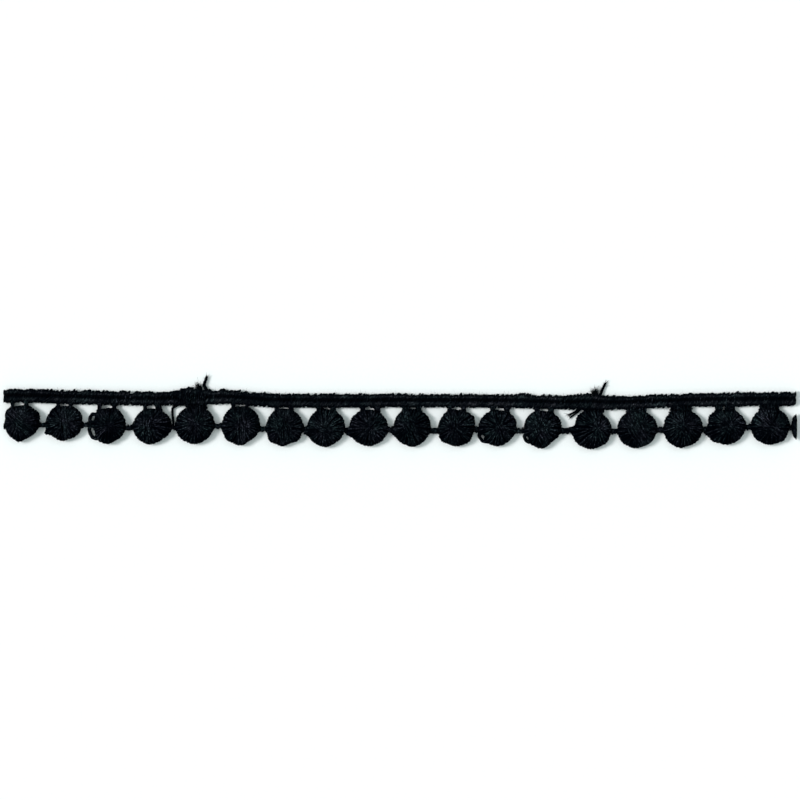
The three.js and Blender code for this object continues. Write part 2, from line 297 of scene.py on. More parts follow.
# Single stitches in the groove: how many, how far they keep from the cuts, their lean along the heading,
# and their route: shares of the lean, shares of the heading's width, and heights.
GROOVE_STITCHES = 46
GROOVE_FROM_CUT = 1.5
GROOVE_LEAN = (0.35, 0.45)
GROOVE_ROUTE = [(-0.5, -0.4, 1.0), (-0.25, -0.26, 1.42), (0, -0.05, 1.22), (0.25, 0.14, 1.6), (0.5, 0.3, 1.3)]

# The padding under the laid threads: how far inside the rim it lies, its section from back to face as
# shares of the way out and heights, and how far inside their stitches the cords' and legs' cores lie.
UNDER_THREADS = 0.05
PADDING_SIDES = 72
PADDING_SECTION = [
    (0.5, 0.42), (0.84, 0.52), (0.95, 0.8), (0.99, 1.05), (1.0, 1.25),
    (0.97, 1.45), (0.88, 1.8), (0.74, 2.05), (0.5, 2.24), (0.2, 2.32),
]
IN_CORD = (0.3, 0.28)
IN_LEG = (0.28, 0.25)
CORD_CORE_STEPS = 160
CORD_CORE_SIDES = 12
LEG_CORE_STEPS = 6
LEG_CORE_SIDES = 10
SHORTEST_BAR = 0.5

# Loose fibres: how many, how long, their half thickness, and how far they stray from their way out.
Fibres = namedtuple("Fibres", "count long fine stray")
HEADING_LINT = Fibres(1500, (0.25, 0.9), (0.016, 0.03), 0.7)
BALL_LINT = Fibres(66, (0.25, 0.8), (0.014, 0.026), 0.5)
TAIL_FRAY = Fibres(20, (0.4, 1.1), 0.05, 0.42)
TUFT_COUNT = 150
TUFT_FINE = (0.035, 0.055)

UP = (0, 0, 1)


def unit(vectors):
    """Vectors made one unit long."""
    return vectors / np.linalg.norm(vectors, axis=-1, keepdims=True)


def points_at(x, y, up):
    """Points from their coordinates, each of which is a row of numbers or the same for all."""
    return np.stack(np.broadcast_arrays(x, y, up), axis=-1)


def points_round(ball, away, angle, up):
    """Points at distances and directions from a ball's middle."""
    return points_at(ball.x + away * np.cos(angle), ball.y + away * np.sin(angle), up)


def flowing(x, table_x, table_y):
    """A smooth curve through the rows of a table."""
    slopes = np.gradient(table_y, table_x)
    row = np.clip(np.searchsorted(table_x, x) - 1, 0, len(table_x) - 2)
    span = table_x[row + 1] - table_x[row]
    t = (x - table_x[row]) / span
    start = (1 + 2 * t) * (1 - t) ** 2 * table_y[row] + t * (1 - t) ** 2 * span * slopes[row]
    end = t * t * (3 - 2 * t) * table_y[row + 1] + t * t * (t - 1) * span * slopes[row + 1]
    return start + end


def route(points, steps):
    """A smooth path through given points."""
    points = np.asarray(points, float)
    marks = np.arange(len(points), dtype=float)
    along = np.linspace(0, len(points) - 1, steps)
    return np.stack([flowing(along, marks, points[:, axis]) for axis in range(3)], axis=-1)


# Threads

Bundle = namedtuple("Bundle", "rings closed run tone")

# How far apart the threads' lay maps start, so that no two threads have the same fibres.
LAY_SHIFT = 97.0

# A thread's strip in the bake map, in shares of the strip: where its length and its girth begin and how
# much they take up, and the middles and half sizes of its two cut ends.
BAKE_LENGTH = (0.01, 0.94)
BAKE_GIRTH = (0.04, 0.92)
BAKE_ENDS_AT = 0.975
BAKE_ENDS_WIDE = 0.014
BAKE_ENDS_UP = (0.3, 0.7)
BAKE_ENDS_TALL = 0.15


def spin(paths, outward, radius, rng, closed=True, sides=THREAD_SIDES, flat=THREAD_FLAT, ply=PLY_DEPTH):
    """Rounds many centrelines at once into two-ply threads, flattened against the form they lie on."""
    paths = np.asarray(paths, float)
    count, steps = paths.shape[:2]
    if closed:
        ahead = np.roll(paths, -1, axis=1)
        behind = np.roll(paths, 1, axis=1)
    else:
        ahead = np.concatenate([paths[:, 1:], 2 * paths[:, -1:] - paths[:, -2:-1]], axis=1)
        behind = np.concatenate([2 * paths[:, :1] - paths[:, 1:2], paths[:, :-1]], axis=1)
    along = unit(ahead - behind)
    out = np.broadcast_to(outward, paths.shape)
    out = unit(out - along * np.sum(out * along, axis=-1, keepdims=True))
    side = np.cross(along, out)
    lengths = np.linalg.norm(ahead - paths, axis=-1)
    run = np.concatenate([np.zeros((count, 1)), np.cumsum(lengths, axis=1)], axis=1)
    half_turns = np.maximum(1, np.round(run[:, -1:] / (PLY_TURN / 2)))
    twist = math.pi * half_turns * run[:, :-1] / run[:, -1:] + rng.uniform(0, math.pi, (count, 1))
    angle = np.linspace(0, 2 * math.pi, sides, endpoint=False)
    lobe = 1 + ply * np.cos(2 * (angle - twist[..., None]))
    size = np.broadcast_to(np.reshape(radius, (count, -1)), (count, steps))[..., None] * lobe
    height = size * np.reshape(flat, (-1, 1))[None] if np.ndim(flat) else size * flat
    rings = paths[:, :, None] + (height * np.cos(angle))[..., None] * out[:, :, None]
    rings = rings + (size * np.sin(angle))[..., None] * side[:, :, None]
    return Bundle(rings, closed, run, rng.uniform(0, 1, count))


def stack(rings):
    """One closed form from a stack of outlines, with the two end outlines filled."""
    rings = np.asarray(rings, float)[None]
    lengths = np.linalg.norm(np.diff(rings[:, :, 0], axis=1), axis=-1)
    run = np.concatenate([np.zeros((1, 1)), np.cumsum(lengths, axis=1)], axis=1)
    return Bundle(rings, False, np.concatenate([run, run[:, -1:]], axis=1), np.zeros(1))


def thread_faces(bundle):
    """Corner numbers of a bundle's faces, the points' steps and sides at those corners, and face sizes."""
    count, steps, sides = bundle.rings.shape[:3]
    spans = steps if bundle.closed else steps - 1
    thread, step, side = np.meshgrid(np.arange(count), np.arange(spans), np.arange(sides), indexing="ij")
    threads = np.stack([thread] * 4, axis=-1).reshape(-1)
    at_steps = np.stack([step, step, step + 1, step + 1], axis=-1).reshape(-1)
    at_sides = np.stack([side, side + 1, side + 1, side], axis=-1).reshape(-1)
    sizes = np.full(count * spans * sides, 4)
    if not bundle.closed:
        thread, side = np.meshgrid(np.arange(count), np.arange(sides), indexing="ij")
        threads = np.concatenate([threads, thread.reshape(-1), thread.reshape(-1)])
        at_steps = np.concatenate([at_steps, np.zeros(count * sides, int), np.full(count * sides, steps - 1)])
        at_sides = np.concatenate([at_sides, side[:, ::-1].reshape(-1), side.reshape(-1)])
        sizes = np.concatenate([sizes, np.full(2 * count, sides)])
    return threads, at_steps, at_sides, sizes


def dark_patch_depth(points):
    """How much darker the threads are drawn at points on the balls' faces, in the dark patches, as a share of
    their tone.
    """
    depth = np.zeros(len(points))
    for place in DARK_PATCHES:
        x = (points[:, 0] - BALLS[place.ball].x - place.x) / place.half_wide
        y = (points[:, 1] - BALLS[place.ball].y - place.y) / place.half_tall
        depth = np.maximum(depth, DARK_PATCH_SHARE * np.exp(-(x * x + y * y)))
    return depth


def ball_tones(index, bundle):
    """The tones of a ball's threads, point by point: paler towards the neck and darker towards the foot, and
    darker in the dark patches, one of which is painted shade."""
    ball = BALLS[index]
    points = bundle.rings.reshape(-1, 3)
    tones = np.repeat(bundle.tone, len(points) // len(bundle.tone))
    return tones + PALER_TOWARDS_NECK * (points[:, 1] - ball.y) / (ball.tall / 2) - dark_patch_depth(points)


def sew(name, bundles, material, ball=None):
    """Joins bundles into one piece of the trim, which takes the place of the solid. Each thread gets a
    strip of its own in the bake map, and its own lay map: millimetres along it and turns round it. Both
    ends of the trim are cut straight across, and nothing lies lower than the card."""
    strips = sum(len(bundle.rings) for bundle in bundles)
    longest = max(float(bundle.run.max()) for bundle in bundles)
    columns = max(1, round(math.sqrt(strips * 2 * math.pi * THREAD / longest)))
    rows = math.ceil(strips / columns)
    points, corners, sizes, lays, bakes, tones = [], [], [], [], [], []
    first_point = 0
    first_strip = 0
    for bundle in bundles:
        count, steps, sides = bundle.rings.shape[:3]
        thread, step, side, face_sizes = thread_faces(bundle)
        corners.append(first_point + (thread * steps + step % steps) * sides + side % sides)
        sizes.append(face_sizes)
        run = bundle.run[thread, step]
        turn = side / sides
        lays.append(np.stack([run + LAY_SHIFT * bundle.tone[thread], turn], axis=-1))
        share = run / np.maximum(bundle.run[thread, -1], 1e-6)
        u = BAKE_LENGTH[0] + BAKE_LENGTH[1] * share
        v = BAKE_GIRTH[0] + BAKE_GIRTH[1] * turn
        if not bundle.closed:
            ends = np.arange(len(thread)) >= 4 * count * (steps - 1) * sides
            around = 2 * math.pi * turn
            u = np.where(ends, BAKE_ENDS_AT + BAKE_ENDS_WIDE * np.cos(around), u)
            v = np.where(ends, np.where(step == 0, *BAKE_ENDS_UP) + BAKE_ENDS_TALL * np.sin(around), v)
        strip = first_strip + thread
        bakes.append(np.stack([(strip % columns + u) / columns, (strip // columns + v) / rows], axis=-1))
        points.append(bundle.rings.reshape(-1, 3))
        tones.append(np.repeat(bundle.tone, steps * sides) if ball is None else ball_tones(ball, bundle))
        first_point += count * steps * sides
        first_strip += count
    points = np.concatenate(points)
    points[:, 0] = np.clip(points[:, 0], -CUT, CUT)
    points[:, 2] = np.maximum(points[:, 2], 0)
    points = points * MM
    corners = np.concatenate(corners)
    sizes = np.concatenate(sizes)
    mesh = bpy.data.meshes.new(name)
    mesh.vertices.add(len(points))
    mesh.vertices.foreach_set("co", points.reshape(-1))
    mesh.loops.add(len(corners))
    mesh.loops.foreach_set("vertex_index", corners.astype(np.int32))
    mesh.polygons.add(len(sizes))
    mesh.polygons.foreach_set("loop_start", (np.cumsum(sizes) - sizes).astype(np.int32))
    mesh.update(calc_edges=True)
    mesh.polygons.foreach_set("use_smooth", sizes == 4)
    mesh.uv_layers.new(name="OFBake").data.foreach_set("uv", np.concatenate(bakes).reshape(-1))
    mesh.uv_layers.new(name="thread_lay").data.foreach_set("uv", np.concatenate(lays).reshape(-1))
    mesh.attributes.new("thread_tone", "FLOAT", "POINT").data.foreach_set("value", np.concatenate(tones))
    mesh.validate()
    mesh.materials.append(material)
    piece = bpy.data.objects.new(name, mesh)
    bpy.context.scene.collection.objects.link(piece)
    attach(piece, "root")
    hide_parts(NODE)
    return piece


def thickness(rng, count):
    """Thread radii that vary a little, as spun cotton does."""
    return THREAD * rng.uniform(1 - THREAD_UNEVEN, 1 + THREAD_UNEVEN, count)


# Forms under the threads

def heading_at(x):
    """The heading's middle line and its width at x."""
    y = flowing(x, HEADING_LINE.x, HEADING_LINE.y)
    wide = flowing(x, HEADING_LINE.x, HEADING_LINE.wide)
    return y, wide


def turned(angle):
    """An angle brought between minus and plus half a turn."""
    return (angle + math.pi) % (2 * math.pi) - math.pi


def hump(angle, at, half_wide, power=2):
    """A smooth hump round a direction: 1 there, and about a third at its half width. A higher power makes
    its top flatter and its sides steeper."""
    return np.exp(-(turned(angle - at) / half_wide) ** power)


def rim(index, angle):
    """How far a ball's rim lies from its middle in a direction. Foot, neck, shoulder and bars pull it
    outward, it is fullest on its upper sides, and windows and loose threads leave hollows in it."""
    ball = BALLS[index]
    bar_before = BALLS[max(index - 1, 0)].bar_y
    half_wide = ball.wide / 2
    half_tall = ball.tall / 2
    corners = [
        math.atan2(-half_tall, ball.foot),
        math.atan2(half_tall, ball.neck_x - ball.neck_wide / 2),
        math.atan2(half_tall, ball.neck_x + ball.neck_wide / 2),
        SHOULDER,
    ]
    bars = [math.atan2(bar_before - ball.y, -half_wide), math.atan2(ball.bar_y - ball.y, half_wide)]
    pulls = [hump(angle, corner, CORNER_WIDE) for corner in corners]
    pulls = pulls + [hump(angle, bar, BAR_PULL_WIDE) for bar in bars]
    reach = 1 / np.hypot(np.cos(angle) / half_wide, np.sin(angle) / half_tall)
    reach = reach * (1 - CORNER_DIP * (1 - np.max(pulls, axis=0)))
    for side, fuller in FULL_SIDES:
        reach = reach + fuller * hump(angle, side, FULL_WIDE)
    if index in WINDOWS:
        window = WINDOWS[index]
        window_at = math.atan2(half_tall, (window.left + window.right) / 2 - ball.x)
        window_half = (window.right - window.left) / 2 / half_tall + WINDOW_EASE
        reach = reach - window.dip * hump(angle, window_at, window_half, 4)
    for loose in LOOSE_RIMS:
        if loose.ball == index:
            reach = reach - loose.deep * hump(angle, math.radians(loose.at), math.radians(loose.wide), 4)
    for swell in UNEVEN_RIMS + DRAWN_CORNERS:
        if swell.ball == index:
            reach = reach + swell.out * hump(angle, math.radians(swell.at), math.radians(swell.half_wide))
    return reach


def thread_rim(index, angle):
    """How far out the middles of the threads turn over the rim. Their ends stand a little proud of it."""
    return rim(index, angle) - THREAD + ENDS_PROUD


def dome_up(share):
    """Height of the threads' middle on the face, from the ball's middle, 0, to its rim, 1."""
    top = BALL_HIGH - THREAD_HALF_UP
    return RIM_UP + (top - RIM_UP) * np.maximum(1 - share ** DOME_FALL, 0) ** DOME_ROUND


def back_up(share):
    """Height of the threads' middle on the back."""
    return RIM_UP - (RIM_UP - BACK_UP) * np.maximum(1 - share ** BACK_FALL, 0) ** BACK_ROUND


def ball_share(index, spots):
    """How far spots lie out from the ball's middle, 0, to the threads' middle at the rim, 1."""
    away = np.linalg.norm(spots, axis=-1)
    limit = thread_rim(index, np.arctan2(spots[..., 1], spots[..., 0]))
    return np.clip(away / limit, 0, 1)


def ball_outward(index, paths):
    """The direction out of a ball's form at points on it, from its middle."""
    ball = BALLS[index]
    squares = np.array([ball.wide / 2, ball.tall / 2, BALL_HIGH / 2]) ** 2
    return (paths - np.array([0, 0, RIM_UP])) / squares


Leg = namedtuple("Leg", "x wide top foot")


def neck_legs(index):
    """The legs of a ball's neck: middle, width, and where each leaves the heading and meets the ball."""
    ball = BALLS[index]
    sides = [ball.x + ball.neck_x - ball.neck_wide / 2, ball.x + ball.neck_x + ball.neck_wide / 2]
    if index in WINDOWS:
        sides[1:1] = [WINDOWS[index].left, WINDOWS[index].right]
    legs = []
    for left, right in zip(sides[::2], sides[1::2]):
        x = (left + right) / 2
        y, heading_wide = heading_at(np.array([x]))
        angle = math.atan2(ball.tall / 2, x - ball.x)
        foot = ball.y + float(rim(index, angle)) * math.sin(angle)
        legs.append(Leg(x, right - left, float(y[0] - heading_wide[0] / 2), foot))
    return legs


def bar_ends(index):
    """Where the bar to the right of a ball begins and ends, a little way inside the two balls."""
    left = BALLS[index]
    right = BALLS[index + 1]
    away = math.atan2(left.bar_y - left.y, left.wide / 2)
    back = math.atan2(left.bar_y - right.y, -right.wide / 2)
    start = left.x + float(rim(index, away)) * math.cos(away) - BAR_IN_BALL
    end = right.x + float(rim(index + 1, back)) * math.cos(back) + BAR_IN_BALL
    return max(start, -CUT), min(end, CUT)


# Padding

def core(path, half_across, half_up, sides, rng):
    """A plain filled form along a path, for stitches to lie round."""
    half_across = np.broadcast_to(half_across, len(path))
    flat = half_up / half_across
    return spin(path[None], UP, half_across, rng, closed=False, sides=sides, flat=flat, ply=0)


def padding(material):
    """The padding stitches that every other thread lies on, as plain rounded forms."""
    rng = np.random.default_rng(SEED)
    bundles = []
    angle = np.linspace(0, 2 * math.pi, PADDING_SIDES, endpoint=False)
    for index in WHOLE_BALLS:
        reach = rim(index, angle) - UNDER_THREADS
        bundles.append(stack([
            points_round(BALLS[index], share * reach, angle, up) for share, up in PADDING_SECTION
        ]))
    x = np.linspace(-CUT, CUT, CORD_CORE_STEPS)
    y, wide = heading_at(x)
    in_across, in_up = IN_CORD
    for cord in (*CORDS, GROOVE_WEB):
        path = points_at(x, y + cord.across * wide, cord.high / 2)
        half_across = cord.wide / 2 * wide - in_across
        bundles.append(core(path, half_across, cord.high / 2 - in_up, CORD_CORE_SIDES, rng))
    in_across, in_up = IN_LEG
    for index in WHOLE_BALLS:
        for leg in neck_legs(index):
            rows = np.linspace(leg.foot - NECK_IN_BALL, leg.top + NECK_IN_HEADING, LEG_CORE_STEPS)
            path = points_at(leg.x, rows, NECK_UP)
            half_across = leg.wide / 2 - in_across
            bundles.append(core(path, half_across, NECK_HALF_UP - in_up, LEG_CORE_SIDES, rng))
    for index in range(SLIVER):
        start, end = bar_ends(index)
        if end - start > SHORTEST_BAR:
            path = points_at(np.linspace(start, end, LEG_CORE_STEPS), BALLS[index].bar_y, BAR_UP)
            half_across = BALLS[index].bar_thick / 2 - in_across
            bundles.append(core(path, half_across, BAR_HALF_UP - in_up, LEG_CORE_SIDES, rng))
    return sew("lace_underlay", bundles, material)


# Balls

def across_ball(index, angle, offset, order, rng):
    """Stitches laid right round a ball: over its face from rim to rim, and back underneath. Each has its
    angle, its distance from the pivot, and its order, from 0 for the first stitch to 1 for the last."""
    rounds = 10
    least_slope = 0.3
    back_crowd = 0.2
    ball = BALLS[index]
    plan = STITCHING[index]
    count = len(angle)
    pivot = np.array([plan.pivot_x, plan.pivot_y])
    way = np.stack([np.cos(angle), np.sin(angle)], axis=-1)
    across = np.stack([-way[:, 1], way[:, 0]], axis=-1)
    start = pivot + across * offset[:, None]
    ends = []
    for sign in (-1, 1):
        reach = np.full(count, sign * ball.wide / 2)
        for _ in range(rounds):
            spots = start + way * reach[:, None]
            away = np.linalg.norm(spots, axis=-1)
            limit = thread_rim(index, np.arctan2(spots[:, 1], spots[:, 0]))
            slope = np.maximum(sign * np.sum(spots * way, axis=-1) / away, least_slope)
            reach = reach + sign * (limit - away) / slope
        ends.append(reach)
    middle = (ends[0] + ends[1]) / 2
    half = (ends[1] - ends[0]) / 2
    face = np.sin(np.linspace(-math.pi / 2, math.pi / 2, TOP_STEPS))
    back = np.sin(np.linspace(math.pi / 2, -math.pi / 2, BACK_STEPS + 2))[1:-1]
    swing = np.concatenate([face, back])
    reach = middle[:, None] + half[:, None] * swing
    free = 1 - swing ** 2
    rate = rng.uniform(*SWAY_RATE, (count, 1))
    sway = SWAY * np.sin(reach * rate + rng.uniform(0, ANY_PHASE, (count, 1)))
    spots = start[:, None] + way[:, None] * reach[..., None] + across[:, None] * (sway * free)[..., None]
    share = ball_share(index, spots)
    near = np.exp(-(np.linalg.norm(spots - pivot, axis=-1) / CENTRE_WIDE) ** 2)
    rate = rng.uniform(*RIPPLE_RATE, (count, 1))
    ripple = RIPPLE * np.sin(reach * rate + rng.uniform(0, ANY_PHASE, (count, 1)))
    above = dome_up(share) - CENTRE_SINK * (1 - order[:, None]) * near
    above = above + free * (ripple - RIPPLE + rng.uniform(-LIE_LOW, 0, (count, 1)))
    below = back_up(share) + back_crowd * order[:, None] * near
    up = np.where(np.arange(len(swing)) < TOP_STEPS, above, below)
    return np.concatenate([spots, up[..., None]], axis=-1)


def ball_threads(index, material):
    """One ball's cover: a sunburst of stitches through its middle, and the last ones side by side."""
    rng = np.random.default_rng(SEED + index)
    ball = BALLS[index]
    plan = STITCHING[index]
    step = math.pi / SUNBURST_STITCHES
    turn = np.arange(SUNBURST_STITCHES) * step
    last_of_fan = 0.8
    angle = math.radians(plan.lay) + turn + rng.normal(0, FAN_UNEVEN * step, SUNBURST_STITCHES)
    offset = rng.normal(0, FAN_OFF_MIDDLE, SUNBURST_STITCHES)
    order = last_of_fan * (1 - turn / math.pi)
    if plan.strokes == 0:
        order = rng.permutation(order) / last_of_fan
    stroke_angle = math.radians(plan.lay) + rng.normal(0, STROKE_LEAN, plan.strokes)
    stroke_offset = (np.arange(plan.strokes) - (plan.strokes - 1) / 2) * STROKE_PITCH
    stroke_offset = stroke_offset + rng.normal(0, STROKE_UNEVEN, plan.strokes)
    angle = np.concatenate([angle, stroke_angle])
    offset = np.concatenate([offset, stroke_offset])
    order = np.concatenate([order, np.full(plan.strokes, 1.0)])
    paths = across_ball(index, angle, offset, order, rng)
    outward = ball_outward(index, paths)
    radius = thickness(rng, len(angle))
    cover = spin(paths + np.array([ball.x, ball.y, 0]), outward, radius, rng)
    sunk = np.arange(len(angle)) % 2 == 1
    sunk[SUNBURST_STITCHES:] = False
    bundles = [cover._replace(tone=np.where(sunk, SUNK_TONE * cover.tone, PROUD_TONE + cover.tone / 2))]
    strand_steps = 12
    strand_bow = 0.12
    for strand in FACE_STRANDS:
        if strand.ball == index:
            x = np.linspace(strand.x_from, strand.x_to, strand_steps)
            y = np.linspace(strand.y_from, strand.y_to, strand_steps)
            share = ball_share(index, np.stack([x, y], axis=-1))
            up = dome_up(share) + strand_bow * np.sin(np.linspace(0, math.pi, strand_steps))
            path = points_at(ball.x + x, ball.y + y, up)
            single = spin(path[None], UP, strand.thick, rng, closed=False)
            bundles.append(single._replace(tone=np.zeros(1)))
    return sew(f"ball_threads_{index:02d}", bundles, material, ball=index)


def sliver_threads(material):
    """The edge of the ball that the right-hand cut goes through: short stitches round its rim."""
    rng = np.random.default_rng(SEED + SLIVER)
    ball = BALLS[SLIVER]
    count = 18
    uneven = 0.01
    face_steps = 9
    back_steps = 6
    starts_at = 0.7
    past_cut = ball.x - CUT
    spread = math.acos(past_cut / (ball.wide / 2))
    angle = math.pi + np.linspace(-spread, spread, count) + rng.normal(0, uneven, count)
    limit = thread_rim(SLIVER, angle)
    inner = np.full(count, starts_at * past_cut)
    swing = np.concatenate([np.linspace(0, 1, face_steps), np.linspace(1, 0, back_steps)[1:]])
    reach = inner[:, None] + (limit - inner)[:, None] * np.sin(swing * math.pi / 2)
    spots = reach[..., None] * np.stack([np.cos(angle), np.sin(angle)], axis=-1)[:, None]
    share = np.clip(reach / limit[:, None], 0, 1)
    up = np.where(np.arange(len(swing)) < face_steps, dome_up(share), back_up(share))
    paths = np.concatenate([spots, up[..., None]], axis=-1)
    outward = ball_outward(SLIVER, paths)
    bundle = spin(paths + np.array([ball.x, ball.y, 0]), outward, thickness(rng, count), rng, closed=False)
    return sew(f"ball_threads_{SLIVER:02d}", [bundle], material)


# Stitches wound round a cord, leg or bar

def wound(centre, half_across, half_up, slant, rng, axis, sag=0.0):
    """Tilted closed stitches round a form that runs along an axis, 0 for x and 1 for y. Sag lets their
    middles hang towards the start of the axis."""
    count = len(centre)
    turn = np.linspace(0, 2 * math.pi, RING_STEPS, endpoint=False) - math.pi / 2
    across = half_across[:, None] * np.cos(turn)
    up = half_up[:, None] * np.sin(turn)
    offsets = np.zeros((count, RING_STEPS, 3))
    offsets[..., axis] = np.tan(slant)[:, None] * across - sag * np.sin(turn) ** 2
    offsets[..., 1 - axis] = across
    offsets[..., 2] = up
    outward = np.zeros_like(offsets)
    outward[..., 1 - axis] = across / half_across[:, None] ** 2
    outward[..., 2] = up / half_up[:, None] ** 2
    return spin(centre[:, None] + offsets, outward, thickness(rng, count), rng, sides=RING_SIDES)


def laid(routes, radius, rng, steps):
    """Single threads laid along given routes, their ends sunk into the stitching."""
    paths = np.stack([route(points, steps) for points in routes])
    return spin(paths, UP, radius, rng, closed=False, sides=RING_SIDES)


def cord_stitches(cord, material):
    """Satin stitches wound close round one of the heading's cords, a little loose and uneven."""
    rng = np.random.default_rng(SEED + 100 + CORDS.index(cord))
    count = int(CUT_LENGTH / CORD_PITCH)
    x = np.linspace(-CUT, CUT, count) + rng.normal(0, CORD_ALONG_UNEVEN, count)
    y, wide = heading_at(x)
    loose = np.convolve(rng.normal(0, cord.loose, count + 2), CORD_EASE, mode="valid")
    outer = math.copysign(1, cord.across)
    half_across = cord.wide / 2 * wide - THREAD + EDGE_PROUD + loose
    half_across = half_across + rng.uniform(-CORD_ACROSS_UNEVEN, CORD_ACROSS_UNEVEN, count)
    half_up = cord.high / 2 - THREAD_HALF_UP - rng.uniform(0, CORD_UP_UNEVEN, count)
    slant = np.radians(CORD_SLANT + rng.normal(0, CORD_SLANT_UNEVEN, count))
    middle = y + cord.across * wide + outer * (EDGE_PROUD + loose)
    centre = points_at(x, middle, half_up + THREAD_HALF_UP + CORD_LIFT)
    return sew(cord.name, [wound(centre, half_across, half_up, slant, rng, axis=0)], material)


def join_stitches(material):
    """Stitches over both cords: wound round the heading at its joins, and laid singly in the groove."""
    rng = np.random.default_rng(SEED + 110)
    join_half_up = 0.78
    join_uneven = 0.12
    join_lift = 0.3
    x, top, bottom, lean = np.array(JOINS).T
    half_up = join_half_up - rng.uniform(0, join_uneven, len(x))
    centre = points_at(x, (top + bottom) / 2, half_up + join_lift)
    joins = wound(centre, (top - bottom) / 2 - THREAD, half_up, np.radians(lean), rng, axis=0)
    x = np.sort(rng.uniform(-CUT + GROOVE_FROM_CUT, CUT - GROOVE_FROM_CUT, GROOVE_STITCHES))
    y, wide = heading_at(x)
    lean = rng.normal(*GROOVE_LEAN, GROOVE_STITCHES)
    routes = [
        [[x[k] + along * lean[k], y[k] + across * wide[k], up] for along, across, up in GROOVE_ROUTE]
        for k in range(GROOVE_STITCHES)
    ]
    singles = laid(routes, thickness(rng, GROOVE_STITCHES), rng, steps=14)
    return sew("join_stitches", [joins, singles], material)


def neck_threads(material):
    """Necks: stitches wound round each leg, and threads that run down it on to the ball's face."""
    rng = np.random.default_rng(SEED + 120)
    wound_from = 0.5
    wound_to = 0.3
    uneven = 0.06
    leg_lean = math.radians(7)
    leg_sag = 0.08
    runner_pitch = 0.75
    runner_in = 0.32
    runner_drift = 0.25
    runner_inward = 0.3
    runner_long = (0.8, 2.0)
    runner_thin = 0.92
    runner_bow = 0.12
    bundles = []
    routes = []
    for index in WHOLE_BALLS:
        ball = BALLS[index]
        for leg in neck_legs(index):
            rows = np.arange(leg.foot - wound_from, leg.top + wound_to, NECK_PITCH)
            count = len(rows)
            flare = NECK_FLARE * np.linspace(-1, 1, count) ** 2
            half_across = leg.wide / 2 - THREAD + flare + rng.uniform(-uneven, uneven, count)
            half_up = np.full(count, NECK_HALF_UP - THREAD_HALF_UP)
            slant = rng.normal(0, leg_lean, count)
            centre = points_at(leg.x, rows, NECK_UP)
            bundles.append(wound(centre, half_across, half_up, slant, rng, axis=1, sag=leg_sag * leg.wide))
            threads = max(2, round(leg.wide / runner_pitch))
            for side in np.linspace(-1, 1, threads) * (leg.wide / 2 - runner_in):
                x = leg.x + side + rng.uniform(-uneven, uneven)
                drift = rng.uniform(-runner_drift, runner_drift) + runner_inward * (ball.x - x) / ball.wide
                run = rng.uniform(*runner_long)
                end = np.array([x + drift - ball.x, leg.foot - run - ball.y])
                face = float(dome_up(ball_share(index, end)))
                # From inside the heading, down over the leg's stitches, and into the ball's face.
                routes.append([
                    [x, leg.top + 0.6, 0.95],
                    [x, leg.top, 1.24],
                    [x, leg.foot + 0.1, 1.32],
                    [x + drift / 2, leg.foot - 0.5 * run, (face + 1.5) / 2 + runner_bow],
                    [x + drift, leg.foot - run, face - runner_bow],
                ])
    bundles.append(laid(routes, thickness(rng, len(routes)) * runner_thin, rng, steps=16))
    return sew("neck_threads", bundles, material)


def joining_bars(material):
    """The short wrapped knots that join each ball to the next."""
    rng = np.random.default_rng(SEED + 130)
    uneven = (-0.15, 0.1)
    lean = math.radians(12)
    off_line = 0.08
    bundles = []
    for index in range(SLIVER):
        ball = BALLS[index]
        start, end = bar_ends(index)
        count = max(2, round((end - start) / BAR_PITCH))
        half_across = ball.bar_thick / 2 - THREAD + BAR_PROUD + rng.uniform(*uneven, count)
        half_up = np.full(count, BAR_HALF_UP - THREAD_HALF_UP)
        slant = rng.normal(lean, lean, count)
        y = ball.bar_y + rng.normal(0, off_line, count)
        centre = points_at(np.linspace(start, end, count), y, BAR_UP)
        bundles.append(wound(centre, half_across, half_up, slant, rng, axis=0))
    return sew("joining_bars", bundles, material)


# Loose threads

def twisted(points, thick, rng):
    """Two plies twisted about each other along a route, thinning a little towards the free end."""
    steps = 64
    turn_long = 1.5
    ply_out = 0.16 * thick
    ply_radius = 0.38 * thick
    least_up = 0.3 * thick
    middle = route(points, steps)
    along = unit(np.gradient(middle, axis=0))
    side = unit(np.cross(along, np.array(UP, float)))
    up = np.cross(side, along)
    run = np.concatenate([[0], np.cumsum(np.linalg.norm(np.diff(middle, axis=0), axis=-1))])
    turn = 2 * math.pi * run / turn_long
    taper = np.linspace(1.0, 0.85, steps)
    paths = []
    for phase in (0, math.pi):
        across = np.cos(turn + phase)[:, None] * side + np.sin(turn + phase)[:, None] * up
        paths.append(middle + across * (ply_out * taper)[:, None])
    paths = np.array(paths)
    paths[..., 2] = np.maximum(paths[..., 2], least_up)
    radius = np.tile(ply_radius * taper, (2, 1))
    return spin(paths, UP, radius, rng, closed=False, sides=RING_SIDES, flat=1, ply=0)


def hairs(roots, ways, lengths, radius, rng, curl=0.5):
    """Fine single fibres that stand out from the thread, curl and thin out."""
    steps = 6
    thinned = 0.6
    least_up = 0.03
    count = len(roots)
    t = np.linspace(0, 1, steps)
    bend = unit(rng.normal(0, 1, (count, 3))) * curl * lengths[:, None]
    paths = roots[:, None] + ways[:, None] * (lengths[:, None] * t)[..., None]
    paths = paths + bend[:, None] * (t ** 2)[None, :, None]
    paths[..., 2] = np.maximum(paths[..., 2], least_up)
    size = np.reshape(radius, (-1, 1)) * (1 - thinned * t)
    outward = unit(rng.normal(0, 1, (count, 1, 3)))
    return spin(paths, outward, size, rng, closed=False, sides=3, flat=1, ply=0)


